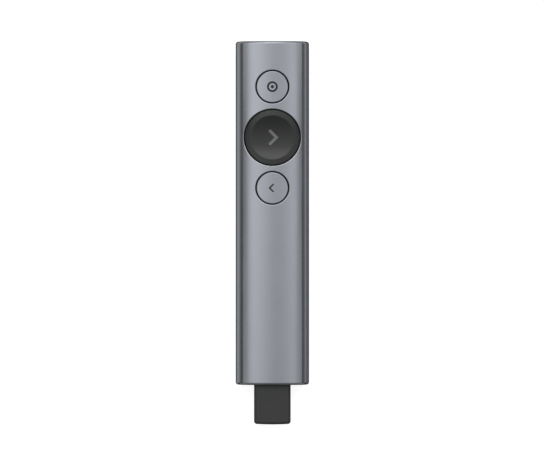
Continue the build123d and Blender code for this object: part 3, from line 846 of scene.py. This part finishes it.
@dataclass
class DishedKey(Assembly):
    """The large key: its top follows the crown, and a trough as round as the crown is its dish."""

    dish_radius: float = 8.4 * MM
    crown_radius: float = 32.48 * MM
    rim_round: float = 0.06 * MM
    edge_round: float = 0.08 * MM
    edge_segments: int = 4
    nose_side_fall: float = 0.22 * MM
    top_cuts: int = 19
    turn_steps: int = 192
    level_tolerance: float = 0.006 * MM
    merge_distance: float = 0.002 * MM

    def build(self) -> None:
        """Makes the cap and dresses the rest."""
        self.fit(self.cap(), Slot.END_CAP, Body.NEXT_KEY, "next_key_cap")
        self.dress(Slot.PALE_SYMBOL, "next_key_symbol")
        dress_switch(self, "next")

    def cap(self) -> bpy.types.Object:
        """Turns the cap from a profile with a flat top, and bends the top to crown and dish.

        Returns:
            The cap, in its place.
        """
        low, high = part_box("next_key_cap")
        radius = (high.x - low.x) / 2
        middle = (low + high) / 2
        mesh = bmesh.new()
        profile = [
            mesh.verts.new((reach, 0.0, height))
            for reach, height in (
                (0.0, high.z),
                (self.dish_radius - self.rim_round, high.z),
                (self.dish_radius + self.rim_round, high.z),
                (radius, high.z),
                (radius, low.z),
                (0.0, low.z),
            )
        ]
        for pair in zip(profile, profile[1:]):
            mesh.edges.new(pair)
        bmesh.ops.bevel(
            mesh,
            geom=profile[3:5],
            offset=self.edge_round,
            offset_type="OFFSET",
            affect="VERTICES",
            segments=self.edge_segments,
            profile=0.5,
            material=-1,
        )
        top_z = high.z - self.level_tolerance
        level = sorted(
            (line for line in mesh.edges if min(vert.co.z for vert in line.verts) > top_z),
            key=lambda line: min(vert.co.x for vert in line.verts),
        )
        bmesh.ops.subdivide_edges(mesh, edges=[level[0], level[-1]], cuts=self.top_cuts)
        bmesh.ops.spin(
            mesh,
            geom=mesh.verts[:] + mesh.edges[:],
            cent=(0.0, 0.0, 0.0),
            axis=(0.0, 0.0, 1.0),
            angle=2 * math.pi,
            steps=self.turn_steps,
            use_merge=True,
        )
        bmesh.ops.remove_doubles(mesh, verts=mesh.verts, dist=self.merge_distance)
        for vert in mesh.verts:
            if vert.co.z > middle.z:
                vert.co.z -= self.drop(vert.co, radius)
        bmesh.ops.recalc_face_normals(mesh, faces=mesh.faces)
        bmesh.ops.translate(mesh, verts=mesh.verts, vec=(middle.x, middle.y, 0.0))
        return finished(mesh, "next_key_cap_surface")

    def drop(self, point: Vector, radius: float) -> float:
        """Gives how far the cap's top lies under its highest line.

        Args:
            point: A place on the top, measured from the key's axis.
            radius: The cap's radius.

        Returns:
            The drop there.
        """
        reach = math.hypot(point.x, point.y)
        if reach < self.dish_radius:
            return self.sag(self.dish_radius) - self.sag(point.y)
        share = (reach - self.dish_radius) / (radius - self.dish_radius)
        return self.sag(point.x) + share * self.nose_side_fall * max(0.0, point.y / reach)

    def sag(self, distance: float) -> float:
        """Gives how far the crown falls at a distance from its highest line."""
        return self.crown_radius - math.sqrt(self.crown_radius**2 - distance**2)


def dress_switch(assembly: Assembly, key: str) -> None:
    """Dresses the carrier and the tactile switch under a key.

    Args:
        assembly: The key that they belong to.
        key: The key's name.
    """
    assembly.dress(Slot.CARRIER, f"{key}_key_carrier", f"{key}_switch_plunger")
    assembly.dress(Slot.CHIP, f"{key}_switch_base")
    assembly.dress(Slot.STEEL, f"{key}_switch_dome", f"{key}_switch_cover")


@dataclass
class Electronics(Assembly):
    """Chassis, board, key frame and what is soldered to the board."""

    def build(self) -> None:
        """Dresses the inside of the handset."""
        self.dress(Slot.FRAME, "chassis", "key_frame")
        self.dress(Slot.BOARD, "circuit_board")
        self.dress(Slot.SCREW, "board_screws")
        self.dress(Slot.CHIP, "board_chips", "charging_port_tongue")
        self.dress(Slot.STEEL, "radio_shield", "antenna_bracket", "charging_port_shell")


@dataclass
class VibrationMotor(Assembly):
    """Flat motor with its eccentric weight."""

    def build(self) -> None:
        """Dresses the motor."""
        self.dress(Slot.STEEL, "motor_base_plate", "motor_can", "motor_shaft")
        self.dress(Slot.CONTACT, "motor_rotor")


@dataclass
class Battery(Assembly):
    """Pouch cell with its pads, leads, plug and socket."""

    def build(self) -> None:
        """Dresses the battery."""
        self.dress(Slot.CELL, "battery_cell")
        self.dress(Slot.PAD, "battery_pads")
        self.dress(Slot.SOCKET, "battery_socket", "battery_plug")
        self.dress(Slot.RED_LEAD, "battery_lead_positive")
        self.dress(Slot.BLACK_LEAD, "battery_lead_negative")


@dataclass
class Receiver(Assembly):
    """Plug-in receiver that is docked in the tail."""

    def build(self) -> None:
        """Dresses the receiver."""
        self.dress(Slot.RECEIVER, "receiver_case_top", "receiver_case_bottom")
        self.dress(Slot.STEEL, "plug_shell")
        self.dress(Slot.CHIP, "plug_tongue", "receiver_chips")
        self.dress(Slot.CONTACT, "plug_contacts")
        self.dress(Slot.BOARD, "receiver_board")


def main() -> None:
    """Builds the studio and every sub-assembly."""
    logging.basicConfig(level=logging.INFO, format="%(name)s: %(message)s", stream=sys.stdout)
    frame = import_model()
    nodes = frame["nodes"]
    Studio().build()
    Housing(nodes).build()
    FlushKey(nodes, "pointer").build()
    DishedKey(nodes).build()
    FlushKey(nodes, "back").build()
    Electronics(nodes).build()
    VibrationMotor(nodes).build()
    Battery(nodes).build()
    Receiver(nodes).build()


if __name__ == "__main__":
    main()
